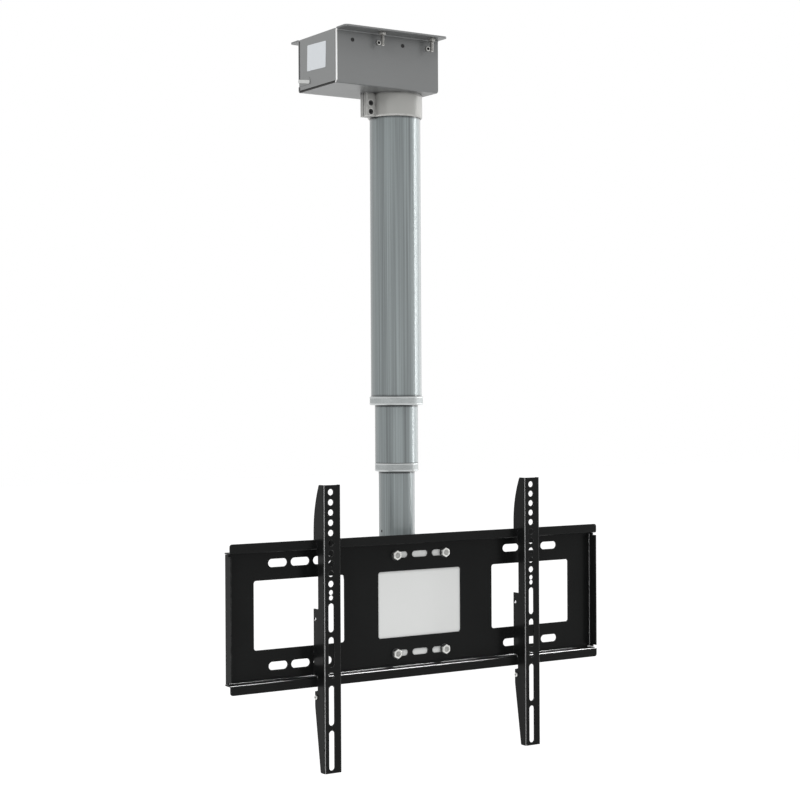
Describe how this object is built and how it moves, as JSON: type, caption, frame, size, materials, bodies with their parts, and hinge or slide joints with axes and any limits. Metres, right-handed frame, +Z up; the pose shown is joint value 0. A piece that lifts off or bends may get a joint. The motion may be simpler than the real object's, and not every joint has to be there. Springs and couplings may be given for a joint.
{
  "type": "motorised telescopic tv ceiling mount",
  "caption": "Ceiling box with a telescopic round column that carries a perforated wall plate and hook-on arms for a flat screen.",
  "frame": {"origin": "where the column's axis meets the ceiling: the flanges of the box rest on the ceiling at z = 0", "axes": "+Z up into the ceiling along the column's axis, +X to the right along the wall plate for a viewer who faces the screen, -Y towards that viewer; the screen hangs on the -Y side"},
  "size_m": [0.676, 0.1873, 1.1139],
  "materials": {
    "housing_grey": "satin",
    "collar_silver": "satin",
    "tube_silver": "satin anodised",
    "ring_bright": "turned",
    "powder_black": "fine powder coat",
    "bracket_grey": "smooth powder coat",
    "bright_steel": "zinc plated",
    "dark_steel": "blackened",
    "screw_steel": "ground",
    "plain_aluminium": "machined",
    "nut_brass": "machined",
    "nylon_white": "moulded",
    "liner_pale": "moulded",
    "motor_steel": "satin",
    "board_green": "laminate",
    "part_black": "moulded",
    "transformer_yellow": "taped",
    "terminal_green": "moulded"
  },
  "bodies": {
    "housing": {"housing_shell": "housing_grey", "left_end_cover": "housing_grey", "right_end_cover": "housing_grey", "cable_grommet": "liner_pale", "ceiling_bolts": "bright_steel", "ceiling_nuts": "bright_steel", "clamp_collar": "collar_silver", "clamp_screws": "dark_steel", "thrust_washer": "nylon_white", "drive_cradle": "bright_steel", "cradle_screws": "bright_steel", "cradle_nuts": "bright_steel", "gearbox_case": "plain_aluminium", "gearbox_screws": "dark_steel", "motor": "motor_steel", "screw_thrust_bearing": "screw_steel", "control_board": "board_green", "board_standoffs": "nut_brass", "transformer": "transformer_yellow", "relays": "part_black", "terminal_block": "terminal_green"},
    "mast": {"outer_tube": "tube_silver", "mast_hub": "screw_steel", "hub_ring_nut": "dark_steel", "hub_screws": "dark_steel", "outer_glide_bush": "nylon_white", "outer_end_ring": "ring_bright"},
    "upper_screw": {"upper_screw": "screw_steel", "output_hub": "screw_steel"},
    "stage_2": {"middle_tube": "tube_silver", "middle_end_ring": "ring_bright", "middle_glide_bush": "nylon_white", "middle_glide_sleeve": "nylon_white", "middle_top_plug": "plain_aluminium", "middle_drive_nut": "nut_brass", "lower_screw_bearing": "screw_steel", "bearing_retainer": "dark_steel"},
    "lower_screw": {"lower_screw": "screw_steel", "screw_key": "dark_steel"},
    "stage_3": {"inner_tube": "tube_silver", "inner_glide_sleeve": "nylon_white", "inner_top_plug": "plain_aluminium", "inner_drive_nut": "nut_brass", "foot_socket": "plain_aluminium", "foot_screws": "dark_steel", "foot_bolts": "bright_steel", "head_bracket": "bracket_grey", "wall_plate": "powder_black", "plate_bolts": "bright_steel", "plate_washers": "bright_steel", "plate_nuts": "bright_steel"},
    "left_arm": {"left_arm": "powder_black", "left_lock_screw": "bright_steel", "left_lock_nut": "bright_steel"},
    "right_arm": {"right_arm": "powder_black", "right_lock_screw": "bright_steel", "right_lock_nut": "bright_steel"}
  },
  "joints": [
    {"name": "mast_swivel", "type": "hinge", "parent": "housing", "child": "mast", "pos_m": [0, 0, -0.0838], "axis": [0, 0, 1], "range_deg": [-180, 180]},
    {"name": "upper_screw_spin", "type": "hinge", "parent": "mast", "child": "upper_screw", "pos_m": [0, 0, -0.034], "axis": [0, 0, 1], "range_deg": [-6905, 2705]},
    {"name": "stage_2_slide", "type": "slide", "parent": "mast", "child": "stage_2", "axis": [0, 0, 1], "range_m": [-0.23, 0.09]},
    {"name": "lower_screw_spin", "type": "hinge", "parent": "stage_2", "child": "lower_screw", "pos_m": [0, 0, -0.2333], "axis": [0, 0, 1], "range_deg": [-6905, 2705]},
    {"name": "stage_3_slide", "type": "slide", "parent": "stage_2", "child": "stage_3", "axis": [0, 0, 1], "range_m": [-0.23, 0.09]},
    {"name": "left_arm_slide", "type": "slide", "parent": "stage_3", "child": "left_arm", "axis": [1, 0, 0], "range_m": [-0.138, 0.138]},
    {"name": "right_arm_slide", "type": "slide", "parent": "stage_3", "child": "right_arm", "axis": [1, 0, 0], "range_m": [-0.122, 0.125]}
  ],
  "couplings": [
    {"joint": "stage_3_slide", "follows": "stage_2_slide", "ratio": 1},
    {"joint": "upper_screw_spin", "follows": "stage_2_slide", "rad_per_m": 523.6},
    {"joint": "lower_screw_spin", "follows": "stage_2_slide", "rad_per_m": 523.6}
  ]
}
